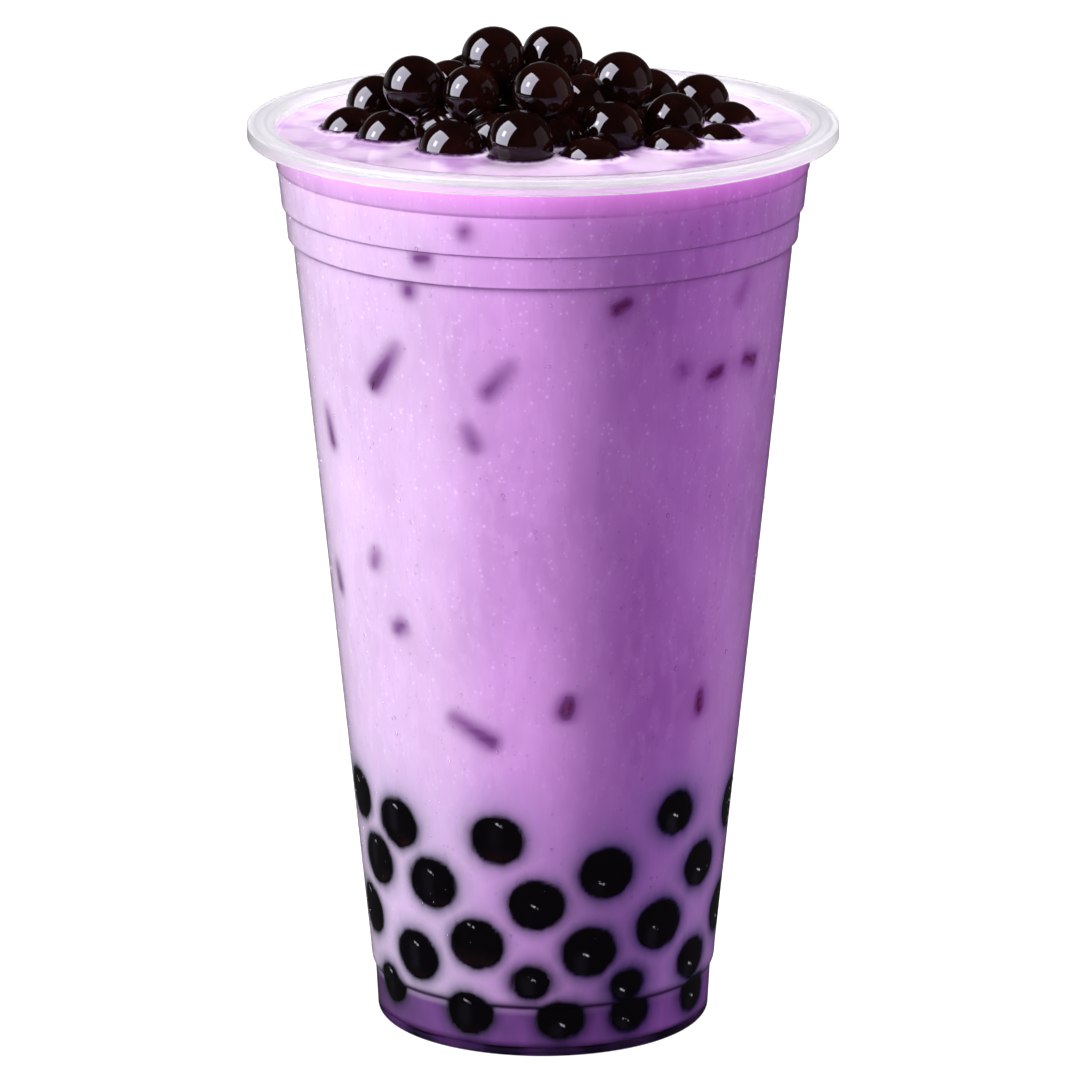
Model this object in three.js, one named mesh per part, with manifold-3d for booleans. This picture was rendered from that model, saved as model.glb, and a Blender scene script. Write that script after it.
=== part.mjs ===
// Taro milk tea with tapioca pearls in a clear film-seal cup.
// Millimetres, +Z up, the origin at the centre of the cup's foot. The front of the drink faces -Y.
import * as THREE from "three";
import { mergeVertices } from "three/addons/utils/BufferGeometryUtils.js";
import Module from "manifold-3d";

// Cup: driving sizes
const CUP_HEIGHT = 149.5;
const RIM_RADIUS = 47.5;
const WALL = 0.7;
const SIDES = 60;

// Rim: a flat sealing flange with a short skirt turned down at its edge
const FLANGE_INNER_RADIUS = 43.9;
const FLANGE_THICKNESS = 0.9;
const SKIRT_HEIGHT = 2.6;
const RIM_ROUND = 0.5;

// Foot: a ring that the cup stands on, round a shallow hollow under the floor
const FOOT_ROUND = 1.2;
const FOOT_RING_WIDTH = 1.6;
const FOOT_HOLLOW = 0.8;
const FLOOR_THICKNESS = 0.7;
const FLOOR_ROUND = 1.4;

// Outer wall from the foot up: the foot, the long drafted body, then two stacking shoulders and a fine bead
const WALL_STATIONS = [
  { height: FOOT_ROUND, radius: 27.3 },
  { height: 8.5, radius: 27.7 },
  { height: 11.2, radius: 28.4 },
  { height: 128.4, radius: 40.1 },
  { height: 131.0, radius: 41.1 },
  { height: 134.4, radius: 41.4 },
  { height: 136.2, radius: 42.05 },
  { height: 141.4, radius: 42.6 },
  { height: 141.8, radius: 42.8 },
  { height: 147.6, radius: 43.4 },
];

// Drink and heap
const DRINK_LEVEL = 147.2;
const FIT_GAP = 0.3;
const PEARL_DIAMETER = 10;
const PEARL_DETAIL = 2;
const SOFT_CONTACT = 0.93; // pearls press into each other, so centres stand this share of the radii's sum apart
const CORE = { halfWidth: 29, halfDepth: 20.5, height: 9, sides: 32, rings: 5 };

// Pearls set by hand: place across, place back, height of the centre over the drink, size share
const SET_PEARLS = [
  // round the front and the sides, from left to right
  { x: -27.2, y: 13.5, lift: 1.9, size: 0.98 },
  { x: -31, y: 1, lift: -0.7, size: 0.98 },
  { x: -24.8, y: -6.3, lift: 0, size: 1 },
  { x: -14.5, y: -16, lift: 0.4, size: 1.06 },
  { x: -3.5, y: -20.5, lift: 2.8, size: 1.06 },
  { x: 7.5, y: -21, lift: -1.5, size: 1.08 },
  { x: 20.5, y: -13, lift: -1.4, size: 1.04 },
  { x: 28, y: -6.5, lift: -1.5, size: 0.92 },
  { x: 30, y: 7.5, lift: -1.1, size: 1 },
  { x: 25.6, y: 16, lift: 1.9, size: 0.96 },
  // behind that edge
  { x: -16, y: -3.5, lift: 0, size: 1 },
  { x: 11, y: -12.5, lift: 3, size: 1 },
  { x: 21, y: -3, lift: 2.5, size: 0.98 },
  { x: 19.5, y: 7.5, lift: -0.6, size: 1 },
  // round the back, from left to right
  { x: -19.5, y: 17.5, lift: 0.4, size: 1.04 },
  { x: -10, y: 21.5, lift: -0.8, size: 1 },
  { x: 1, y: 20.5, lift: 1.6, size: 1.06 },
  { x: 11.5, y: 20.5, lift: -0.5, size: 0.98 },
  // second layer, between the others
  { x: 12.5, y: -3, lift: 9, size: 1.02 },
  { x: 6.3, y: -5, lift: 6, size: 0.96 },
  { x: -15, y: 6.5, lift: 6, size: 0.98 },
  { x: -11.9, y: 16, lift: 5, size: 1 },
  { x: -4.5, y: 12.5, lift: 7, size: 1 },
  { x: 5.8, y: 10, lift: 5.6, size: 0.96 },
  { x: 17.4, y: 13, lift: 3.2, size: 0.96 },
];

// Pearls that those hide: they carry the dropped ones and lie inside the core
const HIDDEN_PEARLS = [
  { x: -7.5, y: -10, lift: 0.4, size: 1 },
  { x: 2, y: -10.5, lift: 0.75, size: 1 },
  { x: -6, y: 0, lift: 0, size: 1 },
  { x: 4, y: -1, lift: 0, size: 1 },
  { x: 12.5, y: 1.5, lift: 0, size: 1 },
  { x: -16, y: 7, lift: -0.2, size: 1 },
  { x: -6.5, y: 11, lift: 0, size: 1 },
  { x: 3.5, y: 9.5, lift: 0, size: 1 },
  { x: 12.5, y: 11.5, lift: -0.6, size: 1 },
];

// Pearls dropped on the pile in this order: each comes to rest on the first pearl below that it touches
const DROPPED_PEARLS = [
  { x: -20.5, y: -1, size: 1.02 },
  { x: 0, y: -13, size: 0.98 },
  { x: -11.5, y: -5.5, size: 0.94 },
  { x: -8, y: 1.5, size: 1.02 },
  { x: 1.5, y: 5, size: 0.98 },
];

const wasm = await Module();
wasm.setup();

// A closed geometry as a solid that can be joined and cut.
function solidOf(geometry) {
  const bare = new THREE.BufferGeometry().setAttribute("position", geometry.getAttribute("position"));
  if (geometry.index) bare.setIndex(geometry.index);
  const merged = mergeVertices(bare, 1e-4);
  return new wasm.Manifold(
    new wasm.Mesh({
      numProp: 3,
      vertProperties: new Float32Array(merged.attributes.position.array),
      triVerts: new Uint32Array(merged.index.array),
    }),
  );
}

// A solid back as a geometry.
function geometryOf(solid) {
  const mesh = solid.getMesh();
  const geometry = new THREE.BufferGeometry();
  geometry.setAttribute("position", new THREE.BufferAttribute(mesh.vertProperties, mesh.numProp));
  geometry.setIndex(new THREE.BufferAttribute(mesh.triVerts, 1));
  geometry.computeVertexNormals();
  return geometry;
}

// Points of a round corner, from one angle to another in degrees.
function roundCorner(centreRadius, centreHeight, round, fromDegrees, toDegrees, steps = 3) {
  const points = [];
  for (let i = 0; i <= steps; i++) {
    const angle = THREE.MathUtils.degToRad(fromDegrees + ((toDegrees - fromDegrees) * i) / steps);
    points.push(
      new THREE.Vector2(centreRadius + round * Math.cos(angle), centreHeight + round * Math.sin(angle)),
    );
  }
  return points;
}

// A profile of radius and height turned once round the Z axis.
function turned(profile) {
  return new THREE.LatheGeometry(profile, SIDES).rotateX(Math.PI / 2);
}

// The wall's stations moved in towards the axis.
function wallLine(inset) {
  return WALL_STATIONS.map(({ height, radius }) => new THREE.Vector2(radius - inset, height));
}

// Outer wall radius at a height, along the straight lines between stations.
function wallRadius(height) {
  const above = WALL_STATIONS.findIndex((station) => station.height >= height);
  const high = above < 0 ? WALL_STATIONS.length - 1 : Math.max(above, 1);
  const low = WALL_STATIONS[high - 1];
  const top = WALL_STATIONS[high];
  return THREE.MathUtils.mapLinear(height, low.height, top.height, low.radius, top.radius);
}

// One clear moulding: foot ring, drafted wall with its shoulders, and the sealing rim.
function cupGeometry() {
  const footRadius = WALL_STATIONS[0].radius;
  const ringInner = footRadius - FOOT_ROUND - FOOT_RING_WIDTH;
  const floor = FOOT_HOLLOW + FLOOR_THICKNESS;
  const flangeUnder = CUP_HEIGHT - FLANGE_THICKNESS;
  const skirtInner = RIM_RADIUS - FLANGE_THICKNESS;
  const skirtBottom = CUP_HEIGHT - SKIRT_HEIGHT;
  const skirtRound = FLANGE_THICKNESS / 2;
  const lipRound = FLANGE_INNER_RADIUS - (wallRadius(CUP_HEIGHT) - WALL);
  const outside = wallLine(0);
  const inside = wallLine(WALL)
    .filter((point) => point.y > floor + FLOOR_ROUND)
    .reverse();
  return turned([
    new THREE.Vector2(0, FOOT_HOLLOW),
    new THREE.Vector2(ringInner - FOOT_HOLLOW / 2, FOOT_HOLLOW),
    new THREE.Vector2(ringInner, 0),
    ...roundCorner(footRadius - FOOT_ROUND, FOOT_ROUND, FOOT_ROUND, -90, 0),
    ...outside.slice(1),
    ...roundCorner(wallRadius(flangeUnder) + RIM_ROUND, flangeUnder - RIM_ROUND, RIM_ROUND, 180, 90, 2),
    new THREE.Vector2(skirtInner, flangeUnder),
    ...roundCorner(skirtInner + skirtRound, skirtBottom + skirtRound, skirtRound, 180, 360),
    ...roundCorner(RIM_RADIUS - RIM_ROUND, CUP_HEIGHT - RIM_ROUND, RIM_ROUND, 0, 90, 2),
    ...roundCorner(FLANGE_INNER_RADIUS, CUP_HEIGHT - lipRound, lipRound, 90, 180),
    ...inside,
    ...roundCorner(wallRadius(floor) - WALL - FLOOR_ROUND, floor + FLOOR_ROUND, FLOOR_ROUND, 0, -90),
    new THREE.Vector2(0, floor),
  ]);
}

// The drink fills the cup from its floor to the level, a hair clear of the wall.
function drinkGeometry() {
  const inset = WALL + FIT_GAP;
  const bottom = FOOT_HOLLOW + FLOOR_THICKNESS + FIT_GAP;
  const side = wallLine(inset).filter((point) => point.y > bottom + FLOOR_ROUND && point.y < DRINK_LEVEL);
  return turned([
    new THREE.Vector2(0, bottom),
    ...roundCorner(wallRadius(bottom) - inset - FLOOR_ROUND, bottom + FLOOR_ROUND, FLOOR_ROUND, -90, 0),
    ...side,
    new THREE.Vector2(wallRadius(DRINK_LEVEL) - inset, DRINK_LEVEL),
    new THREE.Vector2(0, DRINK_LEVEL),
  ]);
}

// Centre height of a dropped pearl: it falls straight down until it touches a pearl of the pile.
function restingHeight(pearl, pile) {
  let height = DRINK_LEVEL;
  for (const other of pile) {
    const across = Math.hypot(pearl.x - other.x, pearl.y - other.y);
    const reach = SOFT_CONTACT * (pearl.radius + other.radius);
    if (across < reach) height = Math.max(height, other.z + Math.sqrt(reach ** 2 - across ** 2));
  }
  return height;
}

// All pearls of the heap that show, with their radii and centres, the dropped ones last.
function heapedPearls() {
  const radiusOf = (pearl) => (PEARL_DIAMETER / 2) * pearl.size;
  const setDown = (pearl) => ({ ...pearl, radius: radiusOf(pearl), z: DRINK_LEVEL + pearl.lift });
  const shown = SET_PEARLS.map(setDown);
  const pile = [...shown, ...HIDDEN_PEARLS.map(setDown)];
  for (const dropped of DROPPED_PEARLS) {
    const pearl = { ...dropped, radius: radiusOf(dropped) };
    pearl.z = restingHeight(pearl, pile);
    pile.push(pearl);
    shown.push(pearl);
  }
  return shown;
}

// A low mound under the pearls, an ellipse in plan.
function coreGeometry() {
  const base = DRINK_LEVEL - CORE.height / 2;
  const profile = [new THREE.Vector2(0, base), new THREE.Vector2(1, base)];
  for (let i = 0; i <= CORE.rings; i++) {
    const share = 1 - i / CORE.rings;
    profile.push(new THREE.Vector2(share, DRINK_LEVEL + CORE.height * (1 - share ** 2)));
  }
  return new THREE.LatheGeometry(profile, CORE.sides)
    .rotateX(Math.PI / 2)
    .scale(CORE.halfWidth, CORE.halfDepth, 1);
}

// Everything under the drink's surface, to be cut from the heap.
function sunkSpace() {
  const floor = DRINK_LEVEL + FIT_GAP;
  const size = 2 * RIM_RADIUS;
  return new THREE.BoxGeometry(size, size, size).translate(0, 0, floor - size / 2);
}

// The heap of pearls: the ones that show, fused on the mound and cut at the drink's surface.
function heapGeometry() {
  let heap = solidOf(coreGeometry());
  for (const { x, y, z, radius } of heapedPearls()) {
    heap = heap.add(solidOf(new THREE.IcosahedronGeometry(radius, PEARL_DETAIL).translate(x, y, z)));
  }
  return geometryOf(heap.subtract(solidOf(sunkSpace())));
}

// One named mesh of the drink.
function piece(name, geometry, material) {
  const mesh = new THREE.Mesh(geometry, new THREE.MeshStandardMaterial(material));
  mesh.name = name;
  return mesh;
}

const tea = new THREE.Group();
tea.add(
  piece("cup", cupGeometry(), { color: 0xf2f3f7, roughness: 0.15, metalness: 0, transparent: true, opacity: 0.3 }),
  piece("drink", drinkGeometry(), { color: 0xc78fd6, roughness: 0.4, metalness: 0 }),
  piece("pearl_heap", heapGeometry(), { color: 0x140a0a, roughness: 0.08, metalness: 0 }),
);

export default tea;
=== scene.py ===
import math

import bpy
import numpy as np
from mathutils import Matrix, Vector


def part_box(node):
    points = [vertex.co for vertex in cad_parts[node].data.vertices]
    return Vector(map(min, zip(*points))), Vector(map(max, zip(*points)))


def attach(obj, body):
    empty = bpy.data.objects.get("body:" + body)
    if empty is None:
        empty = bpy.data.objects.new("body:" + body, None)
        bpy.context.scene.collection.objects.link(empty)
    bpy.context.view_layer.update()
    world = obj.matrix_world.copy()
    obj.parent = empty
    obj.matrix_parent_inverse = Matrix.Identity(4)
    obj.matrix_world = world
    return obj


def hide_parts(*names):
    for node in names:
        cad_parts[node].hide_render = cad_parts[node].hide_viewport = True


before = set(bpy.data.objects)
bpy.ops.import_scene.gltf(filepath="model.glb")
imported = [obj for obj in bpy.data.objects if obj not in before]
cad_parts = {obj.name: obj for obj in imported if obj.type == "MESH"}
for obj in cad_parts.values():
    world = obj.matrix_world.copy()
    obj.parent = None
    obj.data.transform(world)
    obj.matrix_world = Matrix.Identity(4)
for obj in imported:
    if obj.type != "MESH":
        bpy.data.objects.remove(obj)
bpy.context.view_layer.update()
mm = 0.001
print("frame loaded")

# camera at the photo's angle: straight on, looking down a little from far away
photoView = dict(back=1108.9 * mm, height=374.1 * mm, aim=79.2 * mm,
                 focalPixels=7038, framePixels=1086, sensor=36)


def makeCamera(view):
    data = bpy.data.cameras.new("photoCamera")
    data.sensor_width = view["sensor"]
    data.lens = view["sensor"] * view["focalPixels"] / view["framePixels"]
    camera = bpy.data.objects.new("photoCamera", data)
    camera.location = (0, -view["back"], view["height"])
    away = camera.location - Vector((0, 0, view["aim"]))
    camera.rotation_euler = away.to_track_quat("Z", "Y").to_euler()
    bpy.context.scene.collection.objects.link(camera)
    bpy.context.scene.camera = camera


makeCamera(photoView)
print("camera placed")


# every piece is a stack of closed skins: rings of points between two end points

# faces of a stack of skins: quads between rings that follow each other, fans at both ends
def skinFaces(count, rows, columns):
    row = np.arange(rows - 1)[:, None] * columns
    column = np.arange(columns)[None, :]
    after = (column + 1) % columns
    quads = np.stack([row + column, row + after, row + columns + after, row + columns + column], axis=-1)
    lastRow = (rows - 1) * columns
    startPoint, endPoint = rows * columns, rows * columns + 1
    startFan = np.stack([np.full(columns, startPoint), after[0], column[0]], axis=-1)
    endFan = np.stack([np.full(columns, endPoint), lastRow + column[0], lastRow + after[0]], axis=-1)
    shift = np.arange(count)[:, None, None] * (rows * columns + 2)
    quads = (quads.reshape(1, -1, 4) + shift).reshape(-1, 4)
    fans = (np.concatenate([startFan, endFan])[None] + shift).reshape(-1, 3)
    return quads, fans


# one list of points from rings (skins, rows, columns, 3) and their end points (skins, 2, 3)
def skinPoints(rings, ends):
    count = rings.shape[0]
    return np.concatenate([rings.reshape(count, -1, 3), ends], axis=1).reshape(-1, 3)


# a named, smooth piece from stacked skins; it rides on the one body
def skinPiece(name, rings, ends, materials, slot, replaced=None):
    points = skinPoints(rings, ends)
    quads, fans = skinFaces(*rings.shape[:3])
    mesh = bpy.data.meshes.new(name)
    mesh.vertices.add(len(points))
    mesh.vertices.foreach_set("co", points.astype(np.float32).ravel())
    mesh.loops.add(quads.size + fans.size)
    mesh.loops.foreach_set("vertex_index", np.concatenate([quads.ravel(), fans.ravel()]).astype(np.int32))
    starts = np.concatenate([np.arange(len(quads)) * 4, quads.size + np.arange(len(fans)) * 3])
    mesh.polygons.add(len(starts))
    mesh.polygons.foreach_set("loop_start", starts.astype(np.int32))
    mesh.update(calc_edges=True)
    mesh.validate()
    mesh.shade_smooth()
    for material in materials:
        mesh.materials.append(material)
    piece = bpy.data.objects.new(name, mesh)
    bpy.context.scene.collection.objects.link(piece)
    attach(piece, "root")
    if replaced:
        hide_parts(replaced)
    return piece


# a value or a vector for each point, read by the piece's own material
def pointValue(piece, name, values):
    isVector = values.ndim == 2
    attribute = piece.data.attributes.new(name, "FLOAT_VECTOR" if isVector else "FLOAT", "POINT")
    attribute.data.foreach_set("vector" if isVector else "value", values.astype(np.float32).ravel())


# middle of each face of a piece
def faceCentres(piece):
    centres = np.empty(len(piece.data.polygons) * 3, dtype=np.float32)
    piece.data.polygons.foreach_get("center", centres)
    return centres.reshape(-1, 3)


spherePoles = np.array([[0, 0, -1.0], [0, 0, 1.0]])


# unit sphere as rings from the south pole up: sine and cosine of two angles
def sphereRings(rows, columns):
    tilt = np.radians(np.linspace(-90, 90, rows + 2)[1:-1, None])
    turn = np.arange(columns)[None, :] * 2 * math.pi / columns
    level = np.sin(tilt) * np.ones_like(turn)
    return np.stack([np.cos(tilt) * np.cos(turn), np.cos(tilt) * np.sin(turn), level], axis=-1)


# a profile of radius and height turned round the axis; its two ends lie on the axis
def turnedRings(radius, height, columns):
    turn = np.arange(columns) * 2 * math.pi / columns
    x = radius[1:-1, None] * np.sin(turn)
    y = -radius[1:-1, None] * np.cos(turn)  # the first column faces the camera
    z = np.broadcast_to(height[1:-1, None], x.shape)
    rings = np.stack([x, y, z], axis=-1)[None]
    ends = np.array([[[0, 0, height[0]], [0, 0, height[-1]]]])
    return rings, ends


# a round corner of radius and height pairs, from one angle to another
def roundCorner(centreRadius, centreHeight, size, fromDegrees, toDegrees, steps=6):
    angle = np.radians(np.linspace(fromDegrees, toDegrees, steps + 1))
    return np.stack([centreRadius + size * np.cos(angle), centreHeight + size * np.sin(angle)], axis=1)


# 0 below the low value, 1 above the high one, smooth between
def smoothStep(low, high, value):
    share = np.clip((value - low) / (high - low), 0, 1)
    return share * share * (3 - 2 * share)


# 1 at a surface, fading with the distance from it
def closeness(gap, fade):
    return np.exp(-np.clip(gap, 0, None) / fade)


# shader helpers: a socket is linked, anything else is set
def putInput(tree, socket, value):
    if isinstance(value, bpy.types.NodeSocket):
        tree.links.new(value, socket)
    else:
        socket.default_value = value


# a node with its inputs and settings
def addNode(tree, kind, inputs=None, **settings):
    node = tree.nodes.new(kind)
    for name, value in settings.items():
        setattr(node, name, value)
    for name, value in (inputs or {}).items():
        putInput(tree, node.inputs[name], value)
    return node


# a share of the way from the first colour to the second
def mixColours(tree, share, first, second):
    return addNode(tree, "ShaderNodeMix", {0: share, 6: first, 7: second}, data_type="RGBA").outputs[2]


# one step of arithmetic, and below it the two usual ones
def calculate(tree, operation, first, second=0.0):
    return addNode(tree, "ShaderNodeMath", {0: first, 1: second}, operation=operation).outputs[0]


def product(tree, first, second):
    return calculate(tree, "MULTIPLY", first, second)


def larger(tree, first, second):
    return calculate(tree, "MAXIMUM", first, second)


# a share of the way from the first value to the second
def mixValues(tree, share, first, second):
    return addNode(tree, "ShaderNodeMix", {0: share, 2: first, 3: second}).outputs[0]


# one range of values stretched to another, held at its ends
def remap(tree, value, fromLow, fromHigh, toLow=0.0, toHigh=1.0):
    inputs = {"Value": value, "From Min": fromLow, "From Max": fromHigh, "To Min": toLow, "To Max": toHigh}
    return addNode(tree, "ShaderNodeMapRange", inputs).outputs["Result"]


black, white = (0, 0, 0, 1), (1, 1, 1, 1)


# 1 between two values, fading to 0 over a soft edge
def band(tree, value, low, high, soft):
    rising = remap(tree, value, low - soft, low + soft)
    falling = remap(tree, value, high + soft, high - soft)
    return product(tree, rising, falling)


# a value that the piece's points carry
def readValue(tree, name, output="Fac"):
    return addNode(tree, "ShaderNodeAttribute", attribute_name=name).outputs[output]


# an empty material, its tree and its output
def newMaterial(name):
    material = bpy.data.materials.new(name)
    material.use_nodes = True
    tree = material.node_tree
    tree.nodes.clear()
    return material, tree, addNode(tree, "ShaderNodeOutputMaterial")


# an empty node group with its sockets, what it is given and what it puts out
def newGroup(name, inputs, outputs):
    group = bpy.data.node_groups.new(name, "ShaderNodeTree")
    for socket, kind in inputs:
        group.interface.new_socket(socket, in_out="INPUT", socket_type=kind)
    for socket, kind in outputs:
        group.interface.new_socket(socket, in_out="OUTPUT", socket_type=kind)
    return group, addNode(group, "NodeGroupInput").outputs, addNode(group, "NodeGroupOutput").inputs


mottleStyle = dict(cloudDetail=3.0, grainDetail=2.0, finer=9.0)


# shared effect: soft clouds and a fine grain, stretched along the object's axes
def makeMottleGroup(style):
    sockets = [("Scale", "NodeSocketFloat"), ("Stretch", "NodeSocketVector")]
    results = [("Cloud", "NodeSocketFloat"), ("Grain", "NodeSocketFloat")]
    group, given, put = newGroup("mottle", sockets, results)
    place = addNode(group, "ShaderNodeTexCoord").outputs["Object"]
    stretched = {"Vector": place, "Scale": given["Stretch"]}
    vector = addNode(group, "ShaderNodeMapping", stretched).outputs["Vector"]
    coarse = {"Vector": vector, "Scale": given["Scale"], "Detail": style["cloudDetail"]}
    fineScale = product(group, given["Scale"], style["finer"])
    fine = {"Vector": vector, "Scale": fineScale, "Detail": style["grainDetail"]}
    putInput(group, put["Cloud"], addNode(group, "ShaderNodeTexNoise", coarse).outputs["Fac"])
    putInput(group, put["Grain"], addNode(group, "ShaderNodeTexNoise", fine).outputs["Fac"])
    return group


speckStyle = dict(sizes=(0.12, 0.34), dome=0.6)


# shared effect: scattered round specks, a dome in some of the cells
def makeSpeckGroup(style):
    sockets = [("Scale", "NodeSocketFloat"), ("Share", "NodeSocketFloat")]
    group, given, put = newGroup("specks", sockets, [("Speck", "NodeSocketFloat")])
    place = addNode(group, "ShaderNodeTexCoord").outputs["Object"]
    cells = addNode(group, "ShaderNodeTexVoronoi", {"Vector": place, "Scale": given["Scale"]})
    lot = addNode(group, "ShaderNodeSeparateColor", {0: cells.outputs["Color"]}).outputs
    kept = calculate(group, "LESS_THAN", lot[0], given["Share"])
    size = remap(group, lot[1], 0.0, 1.0, *style["sizes"])
    outward = calculate(group, "DIVIDE", cells.outputs["Distance"], size)
    inside = larger(group, calculate(group, "SUBTRACT", 1.0, outward), 0.0)
    dome = calculate(group, "POWER", inside, style["dome"])
    putInput(group, put["Speck"], product(group, dome, kept))
    return group


mottleGroup = makeMottleGroup(mottleStyle)
speckGroup = makeSpeckGroup(speckStyle)


# clouds and grain of a scale, for one material
def addMottle(tree, scale, stretch=(1, 1, 1)):
    node = addNode(tree, "ShaderNodeGroup", node_tree=mottleGroup)
    node.inputs["Scale"].default_value = scale
    node.inputs["Stretch"].default_value = stretch
    return node.outputs["Cloud"], node.outputs["Grain"]


# specks of a scale in a share of the cells, for one material
def addSpecks(tree, scale, share):
    node = addNode(tree, "ShaderNodeGroup", node_tree=speckGroup)
    node.inputs["Scale"].default_value = scale
    node.inputs["Share"].default_value = share
    return node.outputs["Speck"]


# clear bodies let lamp light through to what is behind them
def lightThrough(tree, output, body):
    path = addNode(tree, "ShaderNodeLightPath")
    clear = addNode(tree, "ShaderNodeBsdfTransparent")
    inputs = {0: path.outputs["Is Shadow Ray"], 1: body.outputs[0], 2: clear.outputs[0]}
    mixed = addNode(tree, "ShaderNodeMixShader", inputs)
    putInput(tree, output.inputs["Surface"], mixed.outputs[0])


# the cup
cupShape = dict(
    wall=0.7 * mm, flangeInner=43.9 * mm, flangeThick=0.9 * mm, skirt=2.6 * mm, rimRound=0.5 * mm,
    footRound=1.2 * mm, footRing=1.6 * mm, hollow=0.8 * mm, floor=1.5 * mm, floorRound=1.4 * mm,
    skirtChamfer=0.3 * mm, rimClear=0.6 * mm, milkyDeep=1.6 * mm, milkyWide=2 * mm,
    # straight runs of the outer wall from the foot up: heights and radii in mm, a shoulder after each
    runs=[((1.2, 27.3), (8.6, 27.7)), ((11.2, 28.4), (128.4, 40.1)), ((131.0, 41.1), (134.4, 41.4)),
          ((136.2, 42.05), (141.6, 42.6)), ((142.6, 42.88), (150, 43.65))],
    flares=(False, True, True, True), rowStep=6.0, cornerRun=0.5, shoulderSteps=8, columns=288)
rowGap = 0.2 * mm  # a row nearer than this to a corner is left out
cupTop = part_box("cup")[1]
rimRadius, cupHeight = cupTop.x, cupTop.z


# outer wall as heights and radii: straight runs, joined by shoulders that are quarter ellipses
# the ledge over the foot bends at its lower corner and rises straight, the others flare upwards
def wallLine(shape):
    quarter = np.radians(np.linspace(0, 90, shape["shoulderSteps"] + 1))[1:-1]
    arcs = np.stack([np.sin(quarter), 1 - np.cos(quarter)], axis=1)
    lines = []
    for index, (low, high) in enumerate(shape["runs"]):
        low, high = np.array(low), np.array(high)
        if index:
            arc = arcs if shape["flares"][index - 1] else 1 - arcs[::-1]
            lines.append(corner + (low - corner) * arc)
        rise = high[0] - low[0]
        corners = np.array([shape["cornerRun"], rise - shape["cornerRun"]]) / rise
        steps = np.linspace(0, 1, math.ceil(rise / shape["rowStep"]) + 1)
        lines.append(low + (high - low) * np.union1d(steps, corners)[:, None])
        corner = high
    return np.concatenate(lines).T * mm


wallHeights, wallRadii = wallLine(cupShape)


# outer radius at a height, read along the wall's line
def wallRadius(height):
    return np.interp(height, wallHeights, wallRadii)


# inner radius at a height: the outer one less the wall
def innerRadius(height):
    return wallRadius(height) - cupShape["wall"]


# the cup's section: from the hollow under the floor, up the outside, over the rim, down the inside
def cupProfile(shape):
    floor, hollow, thick = (shape[name] for name in ("floor", "hollow", "flangeThick"))
    rimRound, footRound, floorRound = (shape[name] for name in ("rimRound", "footRound", "floorRound"))
    footRadius = wallRadii[0]
    ringInner = footRadius - footRound - shape["footRing"]
    flangeUnder = cupHeight - thick
    skirtInner = rimRadius - thick
    skirtLow = cupHeight - shape["skirt"]
    chamfer = shape["skirtChamfer"]
    lipRound = shape["flangeInner"] - innerRadius(cupHeight)
    isOutside = wallHeights < flangeUnder - shape["rimClear"]
    isInside = (wallHeights > floor + floorRound + rowGap) & (wallHeights < cupHeight - lipRound)
    floorCorner = innerRadius(floor + floorRound) - floorRound
    parts = [
        np.array([[0, hollow], [ringInner / 2, hollow], [ringInner - hollow / 2, hollow], [ringInner, 0]]),
        roundCorner(footRadius - footRound, footRound, footRound, -90, -5),
        np.stack([wallRadii, wallHeights], axis=1)[isOutside],
        roundCorner(wallRadius(flangeUnder) + rimRound, flangeUnder - rimRound, rimRound, 180, 90),
        np.array([[skirtInner - chamfer, flangeUnder], [skirtInner, flangeUnder - chamfer]]),
        roundCorner(skirtInner + thick / 2, skirtLow + thick / 2, thick / 2, 180, 360, 10),
        roundCorner(rimRadius - rimRound, cupHeight - rimRound, rimRound, 0, 90),
        roundCorner(shape["flangeInner"], cupHeight - lipRound, lipRound, 90, 180, 8),
        np.stack([wallRadii - shape["wall"], wallHeights], axis=1)[isInside][::-1],
        roundCorner(floorCorner, floor + floorRound, floorRound, 0, -90),
        np.array([[floorCorner / 2, floor], [0, floor]])]
    return np.concatenate(parts)


plasticLook = dict(
    colour=(0.985, 0.985, 1, 1), milky=(0.96, 0.96, 0.985, 1), mottle=55, ior=1.49,
    # the foot and ledge colours are painted shade
    foot=(0.3, 0.12, 0.4, 1), footHigh=2.2 * mm,
    ledge=(8.3 * mm, 9.1 * mm, 0.25 * mm), ledgeShadeColour=(0.2, 0.08, 0.26, 1), ledgeShadeShare=0.8)


# clear plastic, a little uneven in tint, with painted shade: darker purple at the thick foot, where the
# drink shows through, and a dark line painted along the ledge over it
def clearPlastic(look):
    material, tree, output = newMaterial("clearPlastic")
    cloud = addMottle(tree, look["mottle"])[0]
    place = addNode(tree, "ShaderNodeTexCoord").outputs["Object"]
    height = addNode(tree, "ShaderNodeSeparateXYZ", {0: place}).outputs["Z"]
    colour = mixColours(tree, remap(tree, cloud, 0.3, 0.7), look["colour"], look["milky"])
    # painted shade: the foot tinted dark purple and a dark line along the ledge
    colour = mixColours(tree, remap(tree, height, look["footHigh"], 0.0), colour, look["foot"])
    ledge = product(tree, band(tree, height, *look["ledge"]), look["ledgeShadeShare"])
    colour = mixColours(tree, ledge, colour, look["ledgeShadeColour"])
    body = addNode(tree, "ShaderNodeBsdfPrincipled", {
        "Base Color": colour, "Roughness": 0.0, "IOR": look["ior"], "Transmission Weight": 1.0})
    lightThrough(tree, output, body)
    return material


rimLook = dict(
    colour=(0.96, 0.95, 0.98, 1), mottle=40, ior=1.45, clear=0.74, rough=0.2, line=(0.66, 0.64, 0.76, 1),
    lines=((44.3 * mm, 44.7 * mm, 0.2 * mm), (46.1 * mm, 46.3 * mm, 0.2 * mm)))
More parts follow.
